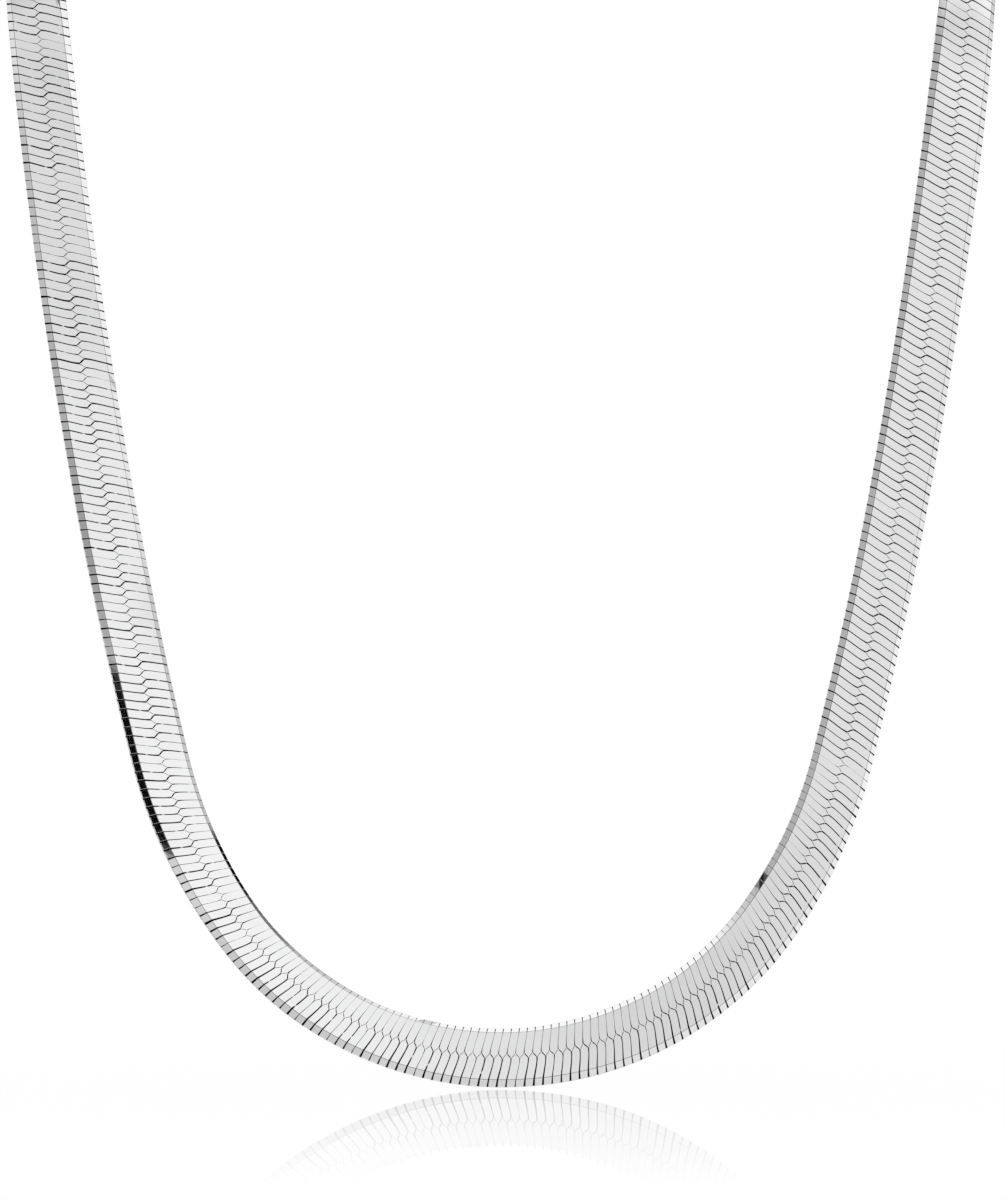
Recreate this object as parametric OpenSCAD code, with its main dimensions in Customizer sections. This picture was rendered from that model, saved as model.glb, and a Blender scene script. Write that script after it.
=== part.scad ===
// Herringbone chain necklace: a flat woven band that hangs as a U in front,
// passes over the sides of the neck and closes behind it with a lobster clasp.
// X is across the neck, -Y is the front, Z is up. The origin is the middle of
// the clasp, where the loop lies on the back of the neck. Sizes in millimetres.

/* [Band] */
// Width of the flat band
band_w = 6.75; // [5:0.25:9]
// Thickness of the flat band
band_t = 1.2; // [1.1:0.05:1.6]
// Width of the bevel along each edge, measured across the band
bevel_w = 0.6; // [0.4:0.05:1]
// Depth of that bevel, measured through the band
bevel_d = 0.42; // [0.2:0.02:0.5]
// Pitch of the woven links
link_pitch = 1.03; // [0.8:0.01:1.3]

/* [Loop] */
// Backward lean of the front, in degrees from upright
lean = 12; // [0:1:20]
// Distance from the lowest point of the band back to the nape
loop_depth = 86; // [76:1:96]
// Height of the nape above the lowest point of the band
loop_drop = 149; // [140:1:160]
// How far the band keeps its upward direction before it turns over the shoulder
rise_reach = 44; // [38:1:52]
// How far the band keeps its sideways direction before the clasp
nape_reach = 35; // [30:1:42]
// Upward tilt of the band's face at the side of the neck, in degrees
side_tilt = 48; // [30:1:60]
// Upward tilt of the band's face at the nape, in degrees
nape_tilt = 25; // [10:1:40]

/* [End caps] */
// Wall of the sleeve that grips each end of the band
cap_wall = 0.5; // [0.4:0.05:0.8]
// Length of the sleeve
cap_len = 5.4; // [4.5:0.1:7]
// Length of band held in the sleeve
cap_grip = 3.4; // [2.5:0.1:3.8]
// Thickness of the eye plate
eye_t = 1; // [0.8:0.1:1.3]
// Radius of each small eye
eye_r = 0.75; // [0.7:0.05:0.9]

/* [Rings and clasp] */
// Middle radius of each jump ring
ring_r = 2.1; // [2:0.05:2.4]
// Wire radius of each jump ring
ring_wire_r = 0.4; // [0.3:0.05:0.45]
// Middle radius of the claw
claw_r = 2.3; // [2.1:0.1:2.6]
// Radius of the claw's bow
claw_wire_r = 0.9; // [0.8:0.05:1]
// Distance from the claw's middle to the eye's middle
clasp_len = 8; // [7:0.5:10]

/* [Hidden] */
round_fn = 48;
solder_gap = 0.1;

// The front from its lowest point up one side: arc length, bend radius
FRONT_ARCS = [
    [34, 35.6],
    [20, 54],
    [30, 490],
    [58, 680]
];
// How far the face turns towards the inside of the U: place along the front
// from its lowest point, minus to the left, and the turn in degrees
ROLL = [
    [-190, 0],
    [-142, 3],
    [-110, 5],
    [-86, 14],
    [-60, 22],
    [-36, 28],
    [-20, 19],
    [0, 11],
    [20, 3],
    [45, -12],
    [142, -6],
    [190, 0]
];
// Where the face starts to turn outward, and where it is steepest
turn_start = 117;
turn_peak = 187;

front_len = FRONT_ARCS[0][0] + FRONT_ARCS[1][0] + FRONT_ARCS[2][0] + FRONT_ARCS[3][0];
ring_step = 2 * link_pitch;
half_w = band_w / 2;
half_t = band_t / 2;
side_h = half_t - bevel_d;

// Places along X in the straight run behind the neck
wire_seat = claw_r - claw_wire_r - ring_wire_r - 0.3;
claw_x = (clasp_len - wire_seat) / 2;
eye_x = claw_x - clasp_len;
cap_eye_x = claw_x + wire_seat + 2 * ring_r;
cap_x = cap_eye_x + 1.45;
chain_end_x = cap_x + cap_len - cap_grip + solder_gap;
straight_x = cap_x + cap_len + 0.2;

// Front of the loop
function arc_walk(s, i, x, h, a) =
    let (
        len_i = FRONT_ARCS[i][0],
        r = FRONT_ARCS[i][1],
        b = a + min(s, len_i) / r * 180 / PI,
        x_next = x + r * (sin(b) - sin(a)),
        h_next = h + r * (cos(a) - cos(b))
    )
    s <= len_i || i == len(FRONT_ARCS) - 1
        ? [x_next, h_next, b]
        : arc_walk(s - len_i, i + 1, x_next, h_next, b);
function front_at(s) =
    let (w = arc_walk(s, 0, 0, 0, 0))
    [
        [w[0], w[1] * sin(lean) - loop_depth, w[1] * cos(lean) - loop_drop],
        [cos(w[2]), sin(w[2]) * sin(lean), sin(w[2]) * cos(lean)]
    ];

// Side and back of the loop: one smooth curve from the top of the front to
// the straight run behind the neck
side_start = front_at(front_len);
SIDE = [
    side_start[0],
    side_start[0] + side_start[1] * rise_reach,
    [straight_x + nape_reach, 0, 0],
    [straight_x, 0, 0]
];
function side_point(t) =
    pow(1 - t, 3) * SIDE[0] + 3 * pow(1 - t, 2) * t * SIDE[1]
    + 3 * (1 - t) * t * t * SIDE[2] + pow(t, 3) * SIDE[3];
function side_slope(t) =
    pow(1 - t, 2) * (SIDE[1] - SIDE[0]) + 2 * (1 - t) * t * (SIDE[2] - SIDE[1])
    + t * t * (SIDE[3] - SIDE[2]);
function sum(list, i = 0) = i == len(list) ? 0 : list[i] + sum(list, i + 1);
side_parts = 100;
side_len = sum([
    for (i = [1 : side_parts])
        norm(side_point(i / side_parts) - side_point((i - 1) / side_parts))
]);
half_len = front_len + side_len + straight_x - chain_end_x;

// Point and direction of the right half at a distance s from the lowest point
function run_at(s) =
    s <= front_len
        ? front_at(s)
        : s <= front_len + side_len
            ? let (t = (s - front_len) / side_len) [side_point(t), side_slope(t)]
            : [[straight_x - (s - front_len - side_len), 0, 0], [-1, 0, 0]];

// How the face of the band is turned
function ramp(a, b, x) = let (t = min(max((x - a) / (b - a), 0), 1)) t * t * (3 - 2 * t);
function unit(v) = v / norm(v);
function mix(a, b, w) = a + (b - a) * w;
function roll_row(s, i = 0) = i >= len(ROLL) - 2 || s < ROLL[i + 1][0] ? i : roll_row(s, i + 1);
function roll_at(s) =
    let (i = roll_row(s))
    mix(ROLL[i][1], ROLL[i + 1][1], ramp(ROLL[i][0], ROLL[i + 1][0], s));
function face_guide(s) =
    let (
        turn = mix(-90, 90, ramp(turn_start, front_len + side_len, s)),
        rise = mix(lean, side_tilt, ramp(turn_start, turn_peak, s)),
        tilt = mix(rise, nape_tilt, ramp(turn_peak, front_len + side_len, s))
    )
    [cos(turn) * cos(tilt), sin(turn) * cos(tilt), sin(tilt)];

// Frame of the band at a signed place s: point, inward direction, face normal
function frame_at(s) =
    let (
        run = run_at(abs(s)),
        along = unit(run[1]),
        guide = face_guide(abs(s)),
        face = unit(guide - (guide * along) * along),
        inward = cross(face, along),
        roll = roll_at(s),
        n = face * cos(roll) + inward * sin(roll),
        v = inward * cos(roll) - face * sin(roll),
        flip = s < 0 ? [-1, 1, 1] : [1, 1, 1]
    )
    [for (p = [run[0], v, n]) [p[0] * flip[0], p[1] * flip[1], p[2] * flip[2]]];

// Cross-section of the band: place across it, place through it
SECTION = [
    [-half_w, side_h],
    [-half_w + bevel_w, half_t],
    [half_w - bevel_w, half_t],
    [half_w, side_h],
    [half_w, -side_h],
    [half_w - bevel_w, -half_t],
    [-half_w + bevel_w, -half_t],
    [-half_w, -side_h]
];

module chain() {
    rings = 2 * ceil(half_len / ring_step);
    corners = len(SECTION);
    points = [
        for (i = [0 : rings])
            let (f = frame_at(mix(-half_len, half_len, i / rings)))
            for (c = SECTION)
                f[0] + f[1] * c[0] + f[2] * c[1]
    ];
    sides = [
        for (i = [0 : rings - 1], j = [0 : corners - 1])
            let (
                a = i * corners + j,
                b = i * corners + (j + 1) % corners
            )
            each [[a, b, b + corners], [a, b + corners, a + corners]]
    ];
    start = [for (j = [corners - 1 : -1 : 0]) j];
    end = [for (j = [0 : corners - 1]) rings * corners + j];
    color([0.86, 0.86, 0.87])
        polyhedron(points = points, faces = concat(sides, [start, end]), convexity = 10);
}

// Turns a piece of the straight run, drawn flat, to the tilt of the nape
module at_nape() {
    rotate([nape_tilt - 90, 0, 0])
        children();
}

// Sleeve with a pocket for the band and a flat plate with an eye, along +X
module end_cap() {
    inner_w = band_w + 2 * solder_gap;
    inner_t = band_t + 2 * solder_gap;
    outer_w = inner_w + 2 * cap_wall;
    outer_t = inner_t + 2 * cap_wall;
    chamfer = 0.5;
    profile = [
        [-outer_w / 2, -outer_t / 2 + chamfer],
        [-outer_w / 2 + chamfer, -outer_t / 2],
        [outer_w / 2 - chamfer, -outer_t / 2],
        [outer_w / 2, -outer_t / 2 + chamfer],
        [outer_w / 2, outer_t / 2 - chamfer],
        [outer_w / 2 - chamfer, outer_t / 2],
        [-outer_w / 2 + chamfer, outer_t / 2],
        [-outer_w / 2, outer_t / 2 - chamfer]
    ];
    plate_r = eye_r + 0.6;
    shoulder_x = cap_x + 1.1;
    difference() {
        union() {
            // Sleeve with its front corners cut back to the plate
            intersection() {
                translate([cap_x, 0, 0])
                    rotate([90, 0, 90])
                        linear_extrude(cap_len)
                            polygon(profile);
                translate([0, 0, -outer_t])
                    linear_extrude(2 * outer_t)
                        polygon([
                            [cap_x, -outer_w / 2 + 1.4],
                            [shoulder_x, -outer_w / 2],
                            [cap_x + cap_len, -outer_w / 2],
                            [cap_x + cap_len, outer_w / 2],
                            [shoulder_x, outer_w / 2],
                            [cap_x, outer_w / 2 - 1.4]
                        ]);
            }
            translate([0, 0, -eye_t / 2])
                linear_extrude(eye_t)
                    polygon([
                        [cap_eye_x, -plate_r],
                        [cap_x + 0.5, -plate_r - 0.4],
                        [cap_x + 0.5, plate_r + 0.4],
                        [cap_eye_x, plate_r]
                    ]);
            translate([cap_eye_x, 0, -eye_t / 2])
                cylinder(h = eye_t, r = plate_r, $fn = round_fn);
        }
        translate([cap_eye_x, 0, -eye_t])
            cylinder(h = 2 * eye_t, r = eye_r, $fn = round_fn);
        // Pocket for the end of the band
        translate([cap_x + cap_len - cap_grip, -inner_w / 2, -inner_t / 2])
            cube([cap_grip + 1, inner_w, inner_t]);
    }
}

module end_cap_left() {
    color([0.84, 0.84, 0.85])
        at_nape()
            mirror([1, 0, 0])
                end_cap();
}

module end_cap_right() {
    color([0.84, 0.84, 0.85])
        at_nape()
            end_cap();
}

// Ring that stands across the flat pieces and passes through both their eyes
module jump_ring(x) {
    translate([x, 0, 0])
        rotate([90, 0, 0])
            rotate_extrude($fn = round_fn)
                translate([ring_r, 0])
                    circle(r = ring_wire_r, $fn = round_fn);
}

module jump_ring_left() {
    color([0.84, 0.84, 0.85])
        at_nape()
            jump_ring(eye_x - ring_r);
}

module jump_ring_right() {
    color([0.84, 0.84, 0.85])
        at_nape()
            jump_ring(claw_x + wire_seat + ring_r);
}

// Closed clasp in one piece: claw, neck and a small eye
module lobster_clasp() {
    eye_wire_r = 0.5;
    eye_ring_r = eye_r + eye_wire_r;
    neck_from = eye_x + eye_ring_r;
    neck_to = claw_x - claw_r;
    color([0.84, 0.84, 0.85])
        at_nape() {
            translate([claw_x, 0, 0])
                rotate_extrude($fn = round_fn)
                    translate([claw_r, 0])
                        circle(r = claw_wire_r, $fn = round_fn);
            translate([neck_from, 0, 0])
                rotate([0, 90, 0])
                    cylinder(
                        h = neck_to - neck_from,
                        r1 = eye_wire_r,
                        r2 = claw_wire_r,
                        $fn = round_fn
                    );
            translate([eye_x, 0, 0])
                rotate_extrude($fn = round_fn)
                    translate([eye_ring_r, 0])
                        circle(r = eye_wire_r, $fn = round_fn);
        }
}

chain();
end_cap_left();
end_cap_right();
jump_ring_left();
jump_ring_right();
lobster_clasp();
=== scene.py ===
"""Looks of the herringbone chain necklace: woven links, polished silver, studio light and camera.

X is across the neck, -Y is the front and Z is up. The band's own sizes are in millimetres and
degrees. A place along the band is its distance from the lowest point, minus on the left strand.
A place across it is u, plus towards the inside of the U. Link counts t run from left to right.
"""

import math
import random

import bpy
import numpy as np
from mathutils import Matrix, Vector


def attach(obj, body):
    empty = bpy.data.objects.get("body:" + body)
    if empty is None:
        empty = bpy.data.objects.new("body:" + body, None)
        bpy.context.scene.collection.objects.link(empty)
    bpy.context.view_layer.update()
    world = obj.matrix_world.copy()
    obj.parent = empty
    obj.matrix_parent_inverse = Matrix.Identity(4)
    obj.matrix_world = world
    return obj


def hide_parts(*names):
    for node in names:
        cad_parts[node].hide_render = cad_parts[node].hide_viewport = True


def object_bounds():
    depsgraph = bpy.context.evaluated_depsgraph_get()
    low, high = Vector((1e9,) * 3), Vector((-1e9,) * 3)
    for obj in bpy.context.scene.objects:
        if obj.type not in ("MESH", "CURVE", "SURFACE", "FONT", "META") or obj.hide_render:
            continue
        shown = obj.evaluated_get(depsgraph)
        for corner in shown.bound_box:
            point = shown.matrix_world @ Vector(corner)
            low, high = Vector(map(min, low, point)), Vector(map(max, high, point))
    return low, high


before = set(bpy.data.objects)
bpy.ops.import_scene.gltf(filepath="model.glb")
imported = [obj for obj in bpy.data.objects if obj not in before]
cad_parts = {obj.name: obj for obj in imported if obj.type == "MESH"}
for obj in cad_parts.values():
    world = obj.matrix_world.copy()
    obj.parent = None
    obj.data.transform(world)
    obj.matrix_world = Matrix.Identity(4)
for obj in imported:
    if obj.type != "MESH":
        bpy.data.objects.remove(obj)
cad_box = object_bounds()

MM = 0.001

# Band
BAND_W = 6.75
BAND_T = 1.2
LINK_PITCH = 1.03
HALF_W = BAND_W / 2
HALF_T = BAND_T / 2

# Loop
LEAN = 12
LOOP_DEPTH = 86
LOOP_DROP = 149
RISE_REACH = 44
NAPE_REACH = 35
SIDE_TILT = 48
NAPE_TILT = 25
TURN_START = 117
TURN_PEAK = 187
STRAIGHT_X = 15.6
CHAIN_END_X = 12.1
SIDE_STEPS = 100

# The front from its lowest point up one side: arc length, bend radius
FRONT_ARCS = [
    (34, 35.6),
    (20, 54),
    (30, 490),
    (58, 680),
]
FRONT_LEN = sum(length for length, _ in FRONT_ARCS)
# How far the face turns towards the inside of the U: place along the band, turn in degrees
ROLL = [
    (-190, 0),
    (-142, 7),
    (-110, 5),
    (-86, 14),
    (-60, 22),
    (-36, 28),
    (-20, 19),
    (0, 11),
    (20, 3),
    (45, -12),
    (142, -6),
    (190, 0),
]

# Sampling of the band's frames, and the samples over which its curvature is averaged
BAND_STEP = 0.2
CURVE_SAMPLES = 15

# Weave. Each link is a chevron of an outer and an inner arm, on the front and on the back.
# A groove between links is a point-symmetric S across the band, with a kink in the middle:
# where the kink ends, how far the groove lies ahead there and back at the edge, and its bow.
KINK_U = 0.28
KINK_T = 0.23
EDGE_T = 0.75
GROOVE_SWAY = 0.5
# How far the arms lean, against the straight band: place along the band, share
ARM_LEAN = [
    (-140, 1.05),
    (-100, 1.0),
    (-62, 0.7),
    (-30, 0.5),
    (-8, 0.5),
    (14, 0.9),
    (28, 1.18),
    (52, 1.02),
]
# Metal of an arm along the band where it is straight, and where it bends this much
ARM_W = 0.92
ARM_W_BENT = 0.87
BENT_CURVE = 1 / 35.6
TIP_WIDTH = 0.05
# Half a link between the arms on the front and those on the back
BACK_SHIFT = 0.5
# Gaps between neighbouring arms: the least one, the line at an arm's tip, and their spread
GAP_MIN = 0.014
SEAM_GAP = 0.06
GAP_SPREAD_LEFT = 0.22
GAP_SPREAD_RIGHT = 0.14
GAP_SPREAD_ARM = 0.1
# Some gaps are half closed: how many on the left and right, and what is left of them
WEAK_LEFT = 0.15
WEAK_RIGHT = 0.06
WEAK_SHARE = 0.4
# Share of the gaps that two arms close at one spot: place along the band, share
TOUCH = [
    (-120, 0.75),
    (-50, 0.45),
    (-10, 0.1),
    (24, 0.1),
    (32, 0.9),
    (48, 0.9),
    (58, 0.15),
]
# The same on the right strand's inner arms, against its outer ones
INNER_TOUCH = 0.2
# What a gap gains at a distance from the band's middle: distance, gain
GAP_GAIN = [
    (0, 0.05),
    (0.34, 0.045),
    (0.9, 0),
    (HALF_W - 0.8, 0),
    (HALF_W - 0.5, 0.03),
    (HALF_W - 0.06, 0.04),
    (HALF_W, 0.08),
]
# Chamfer along an arm's upper edges, and the most it takes of half a narrow arm
CHAMFER = 0.018
CHAMFER_SHARE = 0.4
# How far the front and back arms reach into each other at the band's middle plane
LAYER_LAP = 0.02
TILT_JITTER = math.radians(0.22)
WEAVE_SEED = 7

# Facets that round the band's edge, from the face outward: width across the band, tilt.
# The first is a line between the face and the bevel in darker silver, a painted dark reflection.
EDGE_FACETS = [
    (0.07, 28),
    (0.58, 35),
    (0.03, 60),
]
EDGE_WIDTHS = np.cumsum([0] + [width for width, _ in EDGE_FACETS])
EDGE_DROPS = np.cumsum([0] + [width * math.tan(math.radians(tilt)) for width, tilt in EDGE_FACETS])
FACE_W = HALF_W - EDGE_WIDTHS[-1]
# Places across an outer arm, from the band's edge to the arm's tip
FACE_STATIONS = [-2.45, -2.2, -1.95, -1.7, -1.45, -1.2, -0.95, -0.75, -0.58, -0.46, -0.36]
SEAM_STATIONS = [-KINK_U, -0.1, 0.1, KINK_U]
ARM_STATIONS = [*(-FACE_W - EDGE_WIDTHS[::-1]), *FACE_STATIONS, *SEAM_STATIONS]
# Where arms can touch: the seven stations from the edge inward
TOUCH_STATIONS = range(len(EDGE_WIDTHS), len(EDGE_WIDTHS) + 7)

# Materials of a link, in the order of its mesh's slots: polished silver, silver painted near black
# as painted shade in the grooves, and darker silver as a painted dark reflection along each edge
POLISHED, GROOVE_SHADE, PAINTED_DARK_LINE = range(3)
# Sides of an arm's six-cornered section that belong to its polished top: chamfer, face, chamfer
TOP_SIDES = range(3)
CHAIN_PIECES = ["chain_left_back", "chain_left_front", "chain_right_front", "chain_right_back"]
# The link's place along, across and through the band, kept on the mesh for its materials
PLACE = "band_place"

# Silver of each kind: colour, roughness
SILVER = {
    "chain_silver": ((0.94, 0.942, 0.945), 0.05),
    # Darker, rougher silver for the line along the face's edge: a painted dark reflection
    "painted_dark_line_silver": ((0.42, 0.42, 0.42), 0.2),
    "fitting_silver": ((0.93, 0.93, 0.935), 0.12),
}
# Scales of the polishing lines and the clouds of dulling: a millimetre on the band, whose lines
# run along it, and a metre on the fittings
BAND_GRAIN = ((0.4, 9, 9), 0.35)
FITTING_GRAIN = ((1500, 1500, 1500), 350)
CLOUD_TINT = (0.97, 1.02)
ROUGHNESS_SHARE = (0.7, 1.3)
BUMP_STRENGTH = 0.05
BUMP_DEPTH = 2e-6
# Silver painted near black on the walls between the links, as painted shade in the grooves
PAINTED_SHADE_TONE = (0.005, 0.02)
GROOVE_ROUGHNESS = 0.5
GROOVE_GRAIN = 6

# Soft boxes and grey cards round the object: azimuth, elevation, inner and outer half angle,
# and the change of brightness
LIGHT_BASE = 0.78
LIGHT_FIELD = [
    (52, 44, 6, 50, 0.16),
    (8, 24, 6, 44, -0.05),
    (3, 27, 6, 16, -0.025),
    (-55, 27, 12, 32, -0.33),
    (-72, 12, 4, 14, 0.10),
    (-36, 13, 4, 14, -0.13),
    (24, 12, 3, 14, -0.02),
    (46, 14, 3, 12, -0.06),
    (41, 21, 4, 9, -0.10),
    (92, 12, 20, 44, 0.06),
    (-110, 70, 30, 44, 0.20),
    (180, 60, 20, 50, 0.12),
    (122, 18, 6, 18, -0.24),
    (148, 32, 6, 20, -0.35),
    (144, 27, 4, 11, -0.30),
    (180, 3, 14, 34, 0.20),
    (-18, 5, 4, 14, -0.13),
    (-135, 22, 8, 24, -0.50),
    (180, 30, 8, 20, -0.45),
    (75, 66, 4, 14, -0.30),
]
# Black cards: azimuth, elevation, inner and outer half angle
DARK_CARDS = [
    (-27.9, 16.9, 1.8, 3.2),
    (-25.5, 17, 1.8, 3.2),
    (-23.2, 16.8, 1.8, 3.2),
    (-21, 16.5, 1.8, 3.2),
    (139.5, 22.3, 3, 6.5),
    (-56.4, 39.2, 1.3, 2.2),
]

# Floor, in metres: half its side, its gap under the band, and how far it mirrors, how strongly
# at most, and how fast that fades
FLOOR_SIZE = 8
FLOOR_GAP = 0.0001
FLOOR_FADE = 0.185
FLOOR_MIRROR = 0.42
FLOOR_FADE_POWER = 1.1
# Brightness of the floor that the metal reflects: place from left to right in metres, value
FLOOR_SHADES = [
    (-0.06, 0.60),
    (-0.01, 0.65),
    (0.0, 0.67),
    (0.015, 0.74),
    (0.037, 0.80),
    (0.08, 0.85),
    (0.2, 0.93),
]

# Camera, in metres and radians. The frame's height is measured at the plane of the U.
CAMERA_X = 0.13 * MM
CAMERA_Z = -99.1 * MM
CAMERA_DISTANCE = 1.1
CAMERA_PLANE_Y = -75.4 * MM
CAMERA_ROLL = 0.0008
FRAME_HEIGHT = 0.132
SENSOR_WIDTH = 36
CLIP = (0.01, 100)


def mix(a, b, w):
    return a + (b - a) * w


def ramp(a, b, x):
    """Smooth rise from 0 at a to 1 at b."""
    t = min(max((x - a) / (b - a), 0), 1)
    return t * t * (3 - 2 * t)


def unit(v):
    return v / np.linalg.norm(v)


def front_at(s):
    """Point and direction of the leaning front at a distance s from its lowest point."""
    x = h = a = 0.0
    for i, (length, radius) in enumerate(FRONT_ARCS):
        last = i == len(FRONT_ARCS) - 1
        b = a + (s if last else min(s, length)) / radius
        x += radius * (math.sin(b) - math.sin(a))
        h += radius * (math.cos(a) - math.cos(b))
        a = b
        if s <= length:
            break
        s -= length
    lean = math.radians(LEAN)
    up = np.array([0, math.sin(lean), math.cos(lean)])
    point = np.array([x, -LOOP_DEPTH, -LOOP_DROP]) + h * up
    return point, np.array([math.cos(a), 0, 0]) + math.sin(a) * up


def bezier(p, t):
    q = 1 - t
    return q**3 * p[0] + 3 * q * q * t * p[1] + 3 * q * t * t * p[2] + t**3 * p[3]


def bezier_slope(p, t):
    q = 1 - t
    return q * q * (p[1] - p[0]) + 2 * q * t * (p[2] - p[1]) + t * t * (p[3] - p[2])


def side_curve():
    """Control points of the stretch from the top of the front to the nape, and its length."""
    start, along = front_at(FRONT_LEN)
    points = [
        start,
        start + along * RISE_REACH,
        np.array([STRAIGHT_X + NAPE_REACH, 0, 0]),
        np.array([STRAIGHT_X, 0, 0]),
    ]
    steps = [bezier(points, i / SIDE_STEPS) for i in range(SIDE_STEPS + 1)]
    length = sum(np.linalg.norm(b - a) for a, b in zip(steps, steps[1:]))
    return points, length


SIDE, SIDE_LEN = side_curve()
SIDE_END = FRONT_LEN + SIDE_LEN
HALF_LEN = SIDE_END + STRAIGHT_X - CHAIN_END_X


def run_at(s):
    """Point and direction of the right half at a distance s from the lowest point."""
    if s <= FRONT_LEN:
        return front_at(s)
    if s <= SIDE_END:
        t = (s - FRONT_LEN) / SIDE_LEN
        return bezier(SIDE, t), bezier_slope(SIDE, t)
    return np.array([STRAIGHT_X - (s - FRONT_LEN - SIDE_LEN), 0, 0]), np.array([-1.0, 0, 0])


def roll_at(s):
    """Turn of the face at a place along the band, in degrees."""
    row = max(i for i in range(len(ROLL) - 1) if i == 0 or s >= ROLL[i][0])
    (a, from_roll), (b, to_roll) = ROLL[row], ROLL[row + 1]
    return mix(from_roll, to_roll, ramp(a, b, s))


def frame_at(s):
    """Frame of the band at a place along it: point, inward direction, face normal."""
    place = abs(s)
    point, slope = run_at(place)
    along = unit(slope)
    turn = math.radians(mix(-90, 90, ramp(TURN_START, SIDE_END, place)))
    rise = mix(LEAN, SIDE_TILT, ramp(TURN_START, TURN_PEAK, place))
    tilt = math.radians(mix(rise, NAPE_TILT, ramp(TURN_PEAK, SIDE_END, place)))
    guide = np.array([
        math.cos(turn) * math.cos(tilt),
        math.sin(turn) * math.cos(tilt),
        math.sin(tilt),
    ])
    face = unit(guide - (guide @ along) * along)
    inward = np.cross(face, along)
    roll = math.radians(roll_at(s))
    normal = face * math.cos(roll) + inward * math.sin(roll)
    across = inward * math.cos(roll) - face * math.sin(roll)
    flip = np.array([-1 if s < 0 else 1, 1, 1])
    return point * flip, across * flip, normal * flip


class Band:
    """The band's frames sampled along its length, with the count of links up to each place."""

    def __init__(self):
        count = 2 * math.ceil(HALF_LEN / BAND_STEP) + 1
        self.s = np.linspace(-HALF_LEN, HALF_LEN, count)
        frames = [frame_at(s) for s in self.s]
        self.point, self.across, self.normal = (np.array(part) for part in zip(*frames))
        along = np.gradient(self.point, self.s, axis=0)
        bend = np.gradient(along, self.s, axis=0)
        smooth = np.ones(CURVE_SAMPLES) / CURVE_SAMPLES
        curve = np.pad(np.einsum("ij,ij->i", bend, self.across), CURVE_SAMPLES // 2, mode="edge")
        self.curve = np.convolve(curve, smooth, mode="valid")
        # Links per millimetre: where the band bends, its outer edge keeps the pitch
        self.rate = (1 + abs(self.curve) * HALF_W) / LINK_PITCH
        steps = (self.rate[1:] + self.rate[:-1]) / 2 * np.diff(self.s)
        self.t = np.concatenate([[0], np.cumsum(steps)])
        self.links = int(self.t[-1])

    def pitch(self, t, u):
        """Length along the band, in millimetres, of one link at a place u across it."""
        curve = np.interp(t, self.t, self.curve)
        return (1 - curve * u) / np.interp(t, self.t, self.rate)

    def arm_width(self, t):
        """Metal of an arm along the band, in millimetres."""
        bent = np.clip(np.interp(t, self.t, self.curve) / BENT_CURVE, 0, 1)
        return mix(ARM_W, ARM_W_BENT, bent)

    def place_along(self, t):
        return np.interp(t, self.t, self.s)

    def lean(self, t):
        return np.interp(self.place_along(t), *zip(*ARM_LEAN))

    def place(self, t, u, w):
        """Points in metres for link counts t, places u across and w through the band."""
        s = self.place_along(t)
        parts = []
        for field in (self.point, self.across, self.normal):
            parts.append(np.stack([np.interp(s, self.s, field[:, i]) for i in range(3)], axis=-1))
        point, across, normal = parts
        return (point + across * u[..., None] + normal * w[..., None]) * MM, s


def groove(u, lean):
    """How far a groove lies ahead of its own link count at the places u across the band."""
    q = np.clip((HALF_W - abs(u)) / (HALF_W - KINK_U), 0, 1)
    sway = 3 * q**2 - 2 * q**3
    side = KINK_T - (EDGE_T + KINK_T) * lean * (1 - mix(q, sway, GROOVE_SWAY))
    kink = -KINK_T * u / KINK_U
    return np.where(abs(u) <= KINK_U, kink, np.where(u < 0, side, -side))


def seam(u):
    """The line between an outer arm's tip and the inner arm's shoulder."""
    return 0.5 + (0.5 - KINK_T) * u / KINK_U


def face_height(u):
    """Height of the band's surface over its middle plane, with the facets along each edge."""
    return HALF_T - np.interp(abs(u) - FACE_W, EDGE_WIDTHS, EDGE_DROPS)


def gap_gain(u):
    return np.interp(abs(u), *zip(*GAP_GAIN))


def arm_rings(band, first, shares, tilts, outer):
    """Section points of many arms at once: (arm, station, corner) arrays of t, u and w."""
    u = np.array(ARM_STATIONS)
    k = first[:, None]
    low = np.where(u <= -KINK_U, groove(u, band.lean(k)), seam(u))
    high = 1 + groove(u, band.lean(k + 1))
    in_seam = u > -KINK_U
    if not outer:
        u, low, high = -u, 1 - high, 1 - low
    pitch = band.pitch(k + 0.5, u[None, :])
    room = pitch - band.arm_width(k + 0.5)

    def half_gap(share):
        return (np.maximum(room * share, GAP_MIN) + gap_gain(u)) / 2 / pitch

    cut_low, cut_high = half_gap(shares[:-1]), half_gap(shares[1:])
    seam_cut = np.broadcast_to(SEAM_GAP / 2 / pitch, cut_low.shape)
    if outer:
        cut_low = np.where(in_seam, seam_cut, cut_low)
    else:
        cut_high = np.where(in_seam, seam_cut, cut_high)
    low = k + low + cut_low
    high = k + high - cut_high
    middle = (low + high) / 2
    half = np.maximum((high - low) / 2, TIP_WIDTH / 2)
    edge = np.minimum(CHAMFER / pitch, half * CHAMFER_SHARE)
    drop = edge * pitch
    # A tilted arm keeps its higher side at the face, so that nothing stands above the band
    top = np.broadcast_to(face_height(u), half.shape)
    tilt = tilts[:, None] * half * pitch
    high_top = top - np.maximum(-tilt, 0) * 2
    low_top = top - np.maximum(tilt, 0) * 2
    base = np.full(half.shape, -LAYER_LAP)
    t = np.stack([
        middle - half, middle - half + edge, middle + half - edge,
        middle + half, middle + half, middle - half,
    ], axis=-1)
    w = np.stack([
        low_top - drop, low_top, high_top, high_top - drop, base, base,
    ], axis=-1)
    return t, np.broadcast_to(u[None, :, None], t.shape), w


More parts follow.
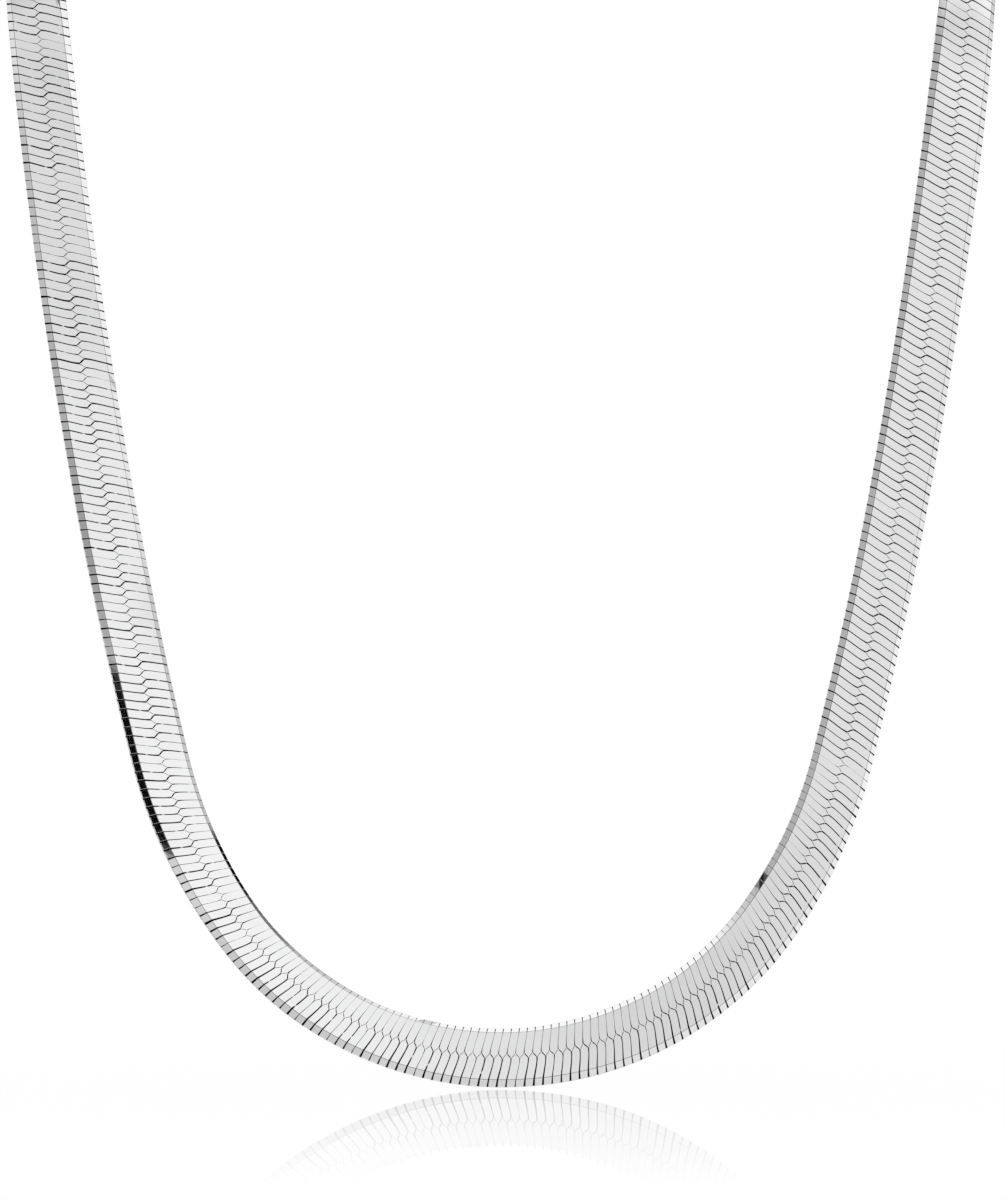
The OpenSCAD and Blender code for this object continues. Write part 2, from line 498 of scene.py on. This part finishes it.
def gap_shares(rng, common, touch, left):
    """Each gap's share of its room at every station, closed at one spot where two arms touch."""
    shares = np.empty((len(common), len(ARM_STATIONS)))
    spots = TOUCH_STATIONS if left else TOUCH_STATIONS[:1]
    for row, share, chance in zip(shares, common, touch):
        row[:] = share + rng.gauss(0, GAP_SPREAD_ARM)
        if rng.random() < chance:
            row[rng.choice(spots)] = 0
    return shares


def arm_quads(stations, corners):
    """Quads of one arm between its rings of corners and over both ends, and their materials."""
    quads, kinds = [], []
    for i in range(stations - 1):
        # The first facet in from the face is painted darker: a painted dark reflection
        outside = PAINTED_DARK_LINE if i == len(EDGE_FACETS) - 1 else POLISHED
        for j in range(corners):
            a = i * corners + j
            b = i * corners + (j + 1) % corners
            quads.append([a, b, b + corners, a + corners])
            # Walls and base get silver painted near black: painted shade in the grooves
            kinds.append(outside if j in TOP_SIDES else GROOVE_SHADE)
    end = (stations - 1) * corners
    ends = ((range(corners - 1, -1, -1), POLISHED), (range(end, end + corners), GROOVE_SHADE))
    for ring, kind in ends:
        r = list(ring)
        quads.append([r[0], r[1], r[2], r[5]])
        quads.append([r[2], r[3], r[4], r[5]])
        kinds += [kind, kind]
    return np.array(quads), kinds


def arms_mesh(band, first, shares, rng, layer, outer):
    """Vertices, quads, material numbers and places of one arm of every link in a run of links."""
    count = len(first)
    tilts = np.array([rng.gauss(0, TILT_JITTER) for _ in range(count)])
    t, u, w = arm_rings(band, first, shares, tilts, outer)
    if layer < 0:
        t = t + BACK_SHIFT
    points, s = band.place(t, u, w * layer)
    stations, corners = t.shape[1:3]
    quads, kinds = arm_quads(stations, corners)
    if (layer > 0) != outer:
        quads = quads[:, ::-1]
    starts = np.arange(count)[:, None, None] * stations * corners
    faces = (quads[None] + starts).reshape(-1, 4)
    marks = np.stack([s, np.broadcast_to(u, s.shape), w * layer], axis=-1)
    return points.reshape(-1, 3), faces, np.tile(kinds, count), marks.reshape(-1, 3)


def mesh_object(name, parts, materials):
    """One mesh object from several (points, faces, kinds, marks) parts."""
    starts = np.cumsum([0] + [len(part[0]) for part in parts])
    points, faces, kinds, marks = (np.concatenate(field) for field in zip(*(
        (points, faces + start, kinds, marks)
        for (points, faces, kinds, marks), start in zip(parts, starts)
    )))
    mesh = bpy.data.meshes.new(name)
    mesh.from_pydata(points.tolist(), [], faces.tolist())
    for material in materials:
        mesh.materials.append(material)
    mesh.polygons.foreach_set("material_index", kinds.astype(np.int32))
    mesh.polygons.foreach_set("use_smooth", np.zeros(len(faces), dtype=bool))
    layer = mesh.attributes.new(PLACE, "FLOAT_VECTOR", "POINT")
    layer.data.foreach_set("vector", marks.astype(np.float32).ravel())
    mesh.update()
    piece = bpy.data.objects.new(name, mesh)
    bpy.context.collection.objects.link(piece)
    return piece


def chain_pieces(materials):
    """The woven links of the whole loop, in four runs."""
    band = Band()
    rng = random.Random(WEAVE_SEED)
    bounds = np.linspace(1, band.links - 2, len(CHAIN_PIECES) + 1).astype(int)
    for name, low, high in zip(CHAIN_PIECES, bounds, bounds[1:]):
        first = np.arange(low, high, dtype=float)
        left = "left" in name
        spread = GAP_SPREAD_LEFT if left else GAP_SPREAD_RIGHT
        weak = WEAK_LEFT if left else WEAK_RIGHT
        touch = np.interp(band.place_along(np.arange(low, high + 1)), *zip(*TOUCH))
        parts = []
        for layer in (1, -1):
            common = [1 + rng.gauss(0, spread) for _ in touch]
            common = [share * (WEAK_SHARE if rng.random() < weak else 1) for share in common]
            for outer in (True, False):
                calm = touch if outer or left else touch * INNER_TOUCH
                shares = gap_shares(rng, common, calm, left)
                parts.append(arms_mesh(band, first, shares, rng, layer, outer))
        piece = mesh_object(name, parts, materials)
        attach(piece, "root")
        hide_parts("chain")


def node_tree(owner):
    """The empty node tree of a material or a world."""
    owner.use_nodes = True
    tree = owner.node_tree
    tree.nodes.clear()
    return tree


def add_node(tree, kind, **settings):
    made = tree.nodes.new(kind)
    for key, value in settings.items():
        setattr(made, key, value)
    return made


def surface(tree, shader, kind="ShaderNodeOutputMaterial"):
    tree.links.new(shader, add_node(tree, kind).inputs["Surface"])


def maths(tree, operation, *values):
    """Result of a maths node that is fed with sockets and fixed numbers."""
    made = add_node(tree, "ShaderNodeMath", operation=operation)
    for slot, value in zip(made.inputs, values):
        if isinstance(value, bpy.types.NodeSocket):
            tree.links.new(value, slot)
        else:
            slot.default_value = value
    return made.outputs["Value"]


def map_range(tree, value, given=(0, 1), wanted=(0, 1), **settings):
    """A value taken from one range to another and held inside it."""
    made = add_node(tree, "ShaderNodeMapRange", **settings)
    limits = zip(("From Min", "From Max", "To Min", "To Max"), (*given, *wanted))
    for name, limit in limits:
        made.inputs[name].default_value = limit
    tree.links.new(value, made.inputs["Value"])
    return made.outputs["Result"]


def noise(tree, place, scale, detail=2):
    made = add_node(tree, "ShaderNodeTexNoise")
    made.inputs["Scale"].default_value = scale
    made.inputs["Detail"].default_value = detail
    tree.links.new(place, made.inputs["Vector"])
    return made.outputs["Fac"]


def silver(name, grain, on_band=True):
    """Polished silver with fine polishing lines, faint clouds of dulling and a little bump."""
    colour, roughness = SILVER[name]
    line_scale, cloud_scale = grain
    material = bpy.data.materials.new(name)
    tree = node_tree(material)
    link = tree.links.new
    if on_band:
        place = add_node(tree, "ShaderNodeAttribute", attribute_name=PLACE).outputs["Vector"]
    else:
        place = add_node(tree, "ShaderNodeTexCoord").outputs["Object"]
    stretch = add_node(tree, "ShaderNodeMapping")
    stretch.inputs["Scale"].default_value = line_scale
    link(place, stretch.inputs["Vector"])
    lines = noise(tree, stretch.outputs["Vector"], 1, detail=3)
    tint = add_node(tree, "ShaderNodeVectorMath", operation="SCALE")
    tint.inputs[0].default_value = colour
    clouds = noise(tree, place, cloud_scale)
    link(map_range(tree, clouds, wanted=CLOUD_TINT), tint.inputs["Scale"])
    bump = add_node(tree, "ShaderNodeBump")
    bump.inputs["Strength"].default_value = BUMP_STRENGTH
    bump.inputs["Distance"].default_value = BUMP_DEPTH
    link(lines, bump.inputs["Height"])
    shader = add_node(tree, "ShaderNodeBsdfPrincipled")
    shader.inputs["Metallic"].default_value = 1
    link(tint.outputs["Vector"], shader.inputs["Base Color"])
    rough = map_range(tree, lines, wanted=[roughness * share for share in ROUGHNESS_SHARE])
    link(rough, shader.inputs["Roughness"])
    link(bump.outputs["Normal"], shader.inputs["Normal"])
    surface(tree, shader.outputs["BSDF"])
    return material


def painted_groove_shade():
    """Silver painted near black on the walls between the links, as painted shade in the grooves.
    """
    material = bpy.data.materials.new("painted_groove_shade")
    tree = node_tree(material)
    place = add_node(tree, "ShaderNodeAttribute", attribute_name=PLACE).outputs["Vector"]
    tone = map_range(tree, noise(tree, place, GROOVE_GRAIN), wanted=PAINTED_SHADE_TONE)
    shader = add_node(tree, "ShaderNodeBsdfPrincipled")
    shader.inputs["Metallic"].default_value = 1
    shader.inputs["Roughness"].default_value = GROOVE_ROUGHNESS
    tree.links.new(tone, shader.inputs["Base Color"])
    surface(tree, shader.outputs["BSDF"])
    return material


def direction(azimuth, elevation):
    """Direction of a light: azimuth 0 is where the camera stands and 90 is to the right."""
    a, e = math.radians(azimuth), math.radians(elevation)
    return (math.sin(a) * math.cos(e), -math.cos(a) * math.cos(e), math.sin(e))


def lobe(tree, ray, azimuth, elevation, inner, outer):
    """1 within the inner half angle of a direction, falling smoothly to 0 at the outer one."""
    dot = add_node(tree, "ShaderNodeVectorMath", operation="DOT_PRODUCT")
    dot.inputs[1].default_value = direction(azimuth, elevation)
    tree.links.new(ray, dot.inputs[0])
    cosines = [math.cos(math.radians(angle)) for angle in (outer, inner)]
    return map_range(tree, dot.outputs["Value"], given=cosines, interpolation_type="SMOOTHSTEP")


def studio_world():
    """White to the camera, and a soft tent with a few cards to everything else."""
    world = bpy.data.worlds.new("studio")
    bpy.context.scene.world = world
    tree = node_tree(world)
    ray = add_node(tree, "ShaderNodeTexCoord").outputs["Generated"]
    level = LIGHT_BASE
    for *where, change in LIGHT_FIELD:
        level = maths(tree, "MULTIPLY_ADD", lobe(tree, ray, *where), change, level)
    for card in DARK_CARDS:
        level = maths(tree, "MULTIPLY", level, maths(tree, "SUBTRACT", 1, lobe(tree, ray, *card)))
    capped = maths(tree, "MINIMUM", level, 1)
    from_camera = add_node(tree, "ShaderNodeLightPath").outputs["Is Camera Ray"]
    light = add_node(tree, "ShaderNodeBackground")
    light.inputs["Strength"].default_value = 1
    tree.links.new(maths(tree, "MAXIMUM", capped, from_camera), light.inputs["Color"])
    surface(tree, light.outputs["Background"], "ShaderNodeOutputWorld")


def floor_shades(tree, x):
    """Brightness of the floor from left to right, by a colour ramp."""
    places = [place for place, _ in FLOOR_SHADES]
    left, right = places[0], places[-1]
    shades = add_node(tree, "ShaderNodeValToRGB")
    tree.links.new(map_range(tree, x, given=(left, right)), shades.inputs["Fac"])
    stops = shades.color_ramp.elements
    for place in places[1:-1]:
        stops.new((place - left) / (right - left))
    for stop, (_, shade) in zip(stops, FLOOR_SHADES):
        stop.color = (shade, shade, shade, 1)
    return shades.outputs["Color"]


def floor_material(level):
    """White to the camera, shaded in the metal, with a mirror that fades round the U's bottom."""
    material = bpy.data.materials.new("floor_white")
    tree = node_tree(material)
    link = tree.links.new
    place = add_node(tree, "ShaderNodeTexCoord").outputs["Object"]
    split = add_node(tree, "ShaderNodeSeparateXYZ")
    link(place, split.inputs["Vector"])
    away = add_node(tree, "ShaderNodeVectorMath", operation="DISTANCE")
    away.inputs[1].default_value = (0, cad_box[0][1], level)
    link(place, away.inputs[0])
    near = map_range(tree, away.outputs["Value"], given=(FLOOR_FADE, 0))
    mirror = maths(tree, "MULTIPLY", maths(tree, "POWER", near, FLOOR_FADE_POWER), FLOOR_MIRROR)
    seen = add_node(tree, "ShaderNodeMixRGB")
    seen.inputs["Color2"].default_value = (1, 1, 1, 1)
    link(add_node(tree, "ShaderNodeLightPath").outputs["Is Camera Ray"], seen.inputs["Fac"])
    link(floor_shades(tree, split.outputs["X"]), seen.inputs["Color1"])
    body = add_node(tree, "ShaderNodeEmission")
    link(seen.outputs["Color"], body.inputs["Color"])
    gloss = add_node(tree, "ShaderNodeBsdfGlossy")
    gloss.inputs["Roughness"].default_value = 0.0
    gloss.inputs["Color"].default_value = (1, 1, 1, 1)
    both = add_node(tree, "ShaderNodeMixShader")
    link(mirror, both.inputs["Fac"])
    link(body.outputs["Emission"], both.inputs[1])
    link(gloss.outputs["BSDF"], both.inputs[2])
    surface(tree, both.outputs["Shader"])
    return material


def floor(level):
    """White floor just under the band."""
    mesh = bpy.data.meshes.new("floor")
    sides = [(-1, -1), (1, -1), (1, 1), (-1, 1)]
    points = [(x * FLOOR_SIZE, y * FLOOR_SIZE, level) for x, y in sides]
    mesh.from_pydata(points, [], [range(len(points))])
    mesh.materials.append(floor_material(level))
    plane = bpy.data.objects.new("floor", mesh)
    bpy.context.collection.objects.link(plane)


def camera():
    """Level camera in front, as far away as the photo's flat perspective shows."""
    data = bpy.data.cameras.new("camera")
    data.sensor_width = SENSOR_WIDTH
    data.lens = data.sensor_width * CAMERA_DISTANCE / FRAME_HEIGHT
    data.clip_start, data.clip_end = CLIP
    view = bpy.data.objects.new("camera", data)
    view.location = (CAMERA_X, CAMERA_PLANE_Y - CAMERA_DISTANCE, CAMERA_Z)
    view.rotation_euler = (math.radians(90), -CAMERA_ROLL, 0)
    bpy.context.collection.objects.link(view)
    bpy.context.scene.camera = view


def dress_fittings(material):
    """Gives the end caps, rings and clasp from the CAD frame their material."""
    for name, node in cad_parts.items():
        if name != "chain":
            node.data.materials.clear()
            node.data.materials.append(material)


# In the order of a link's material numbers
link_materials = [
    silver("chain_silver", BAND_GRAIN),
    # Silver painted near black: painted shade in the grooves
    painted_groove_shade(),
    # Darker silver along the face's edge: a painted dark reflection
    silver("painted_dark_line_silver", BAND_GRAIN),
]
chain_pieces(link_materials)
dress_fittings(silver("fitting_silver", FITTING_GRAIN, on_band=False))
studio_world()
floor(cad_box[0][2] - FLOOR_GAP)
camera()
bpy.context.scene.view_settings.view_transform = "Standard"
